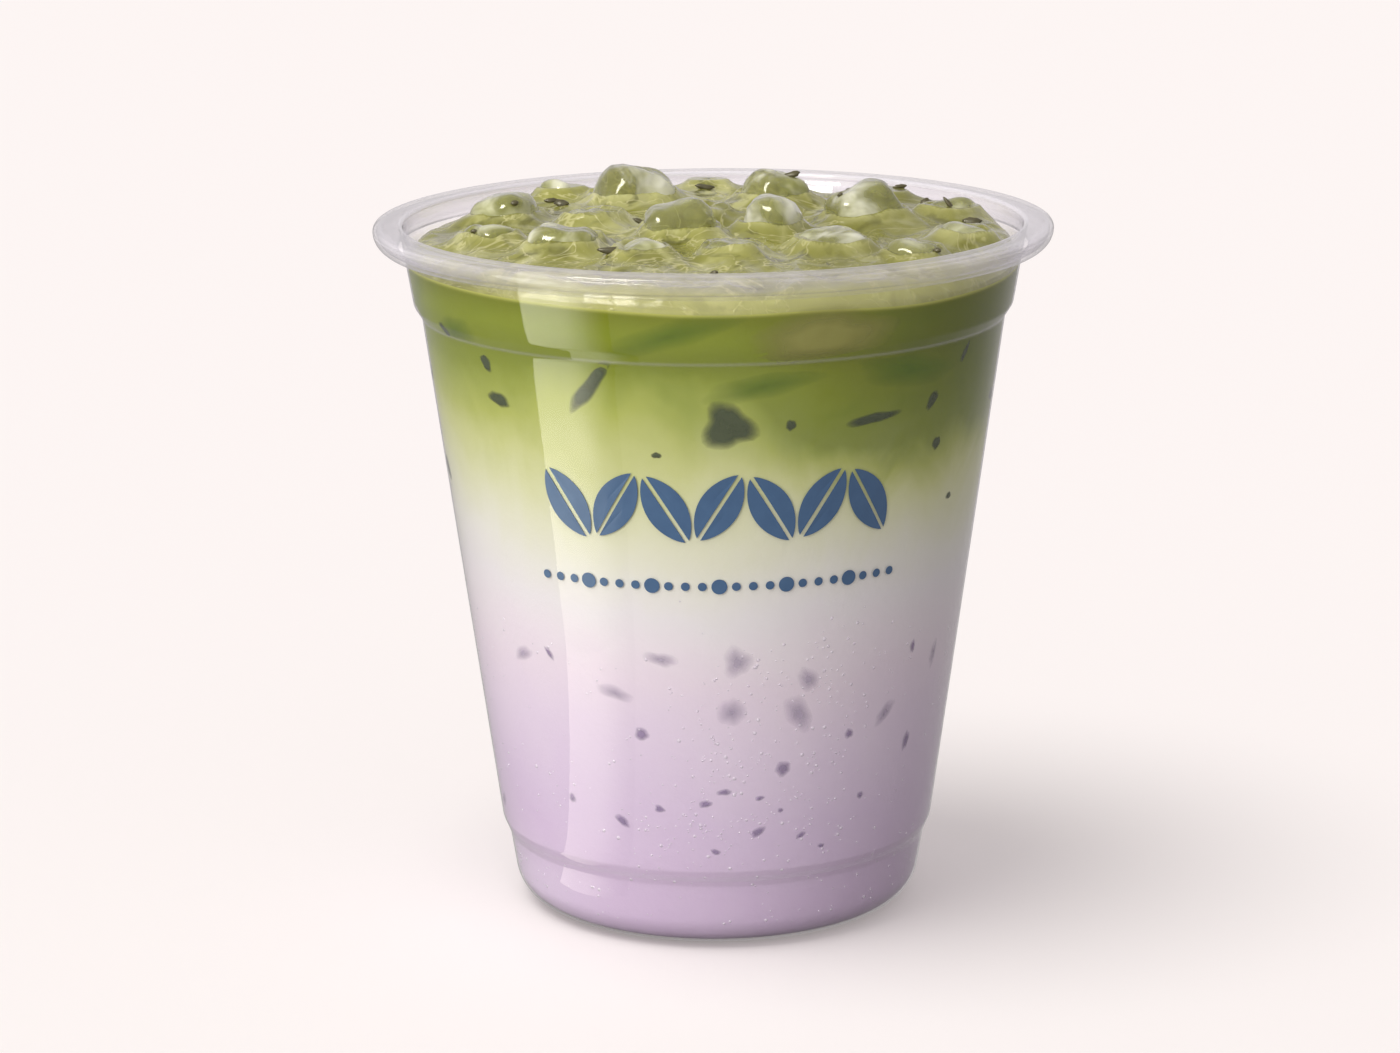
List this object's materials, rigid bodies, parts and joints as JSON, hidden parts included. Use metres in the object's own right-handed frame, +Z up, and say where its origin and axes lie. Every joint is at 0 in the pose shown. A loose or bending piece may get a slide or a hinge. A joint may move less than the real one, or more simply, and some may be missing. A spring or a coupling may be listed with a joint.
{
  "type": "iced matcha latte in a clear cup",
  "caption": "Layered iced matcha latte in an open clear cold cup: purple milk under pale milk under green matcha, with half-melted ice breaking the surface.",
  "frame": {"origin": "on the table under the middle of the cup", "axes": "+Z up the cup's axis, -Y towards the printed front"},
  "size_m": [0.098, 0.098, 0.1052],
  "materials": {
    "cup": "clear thin plastic, glossy",
    "purple_milk": "opaque milky drink",
    "pale_milk": "opaque milky drink",
    "matcha": "opaque green tea, wet",
    "ice": "wet ice with a frosty core"
  },
  "bodies": {
    "root": {"cup": "cup", "purple_milk": "purple_milk", "pale_milk": "pale_milk", "matcha": "matcha", "ice_01": "ice", "ice_02": "ice", "ice_03": "ice", "ice_04": "ice", "ice_05": "ice", "ice_06": "ice", "ice_07": "ice", "ice_08": "ice", "ice_09": "ice", "ice_10": "ice", "ice_11": "ice", "ice_12": "ice", "ice_13": "ice", "ice_14": "ice", "ice_15": "ice", "ice_16": "ice", "ice_17": "ice", "ice_18": "ice", "ice_19": "ice"}
  },
  "joints": []
}
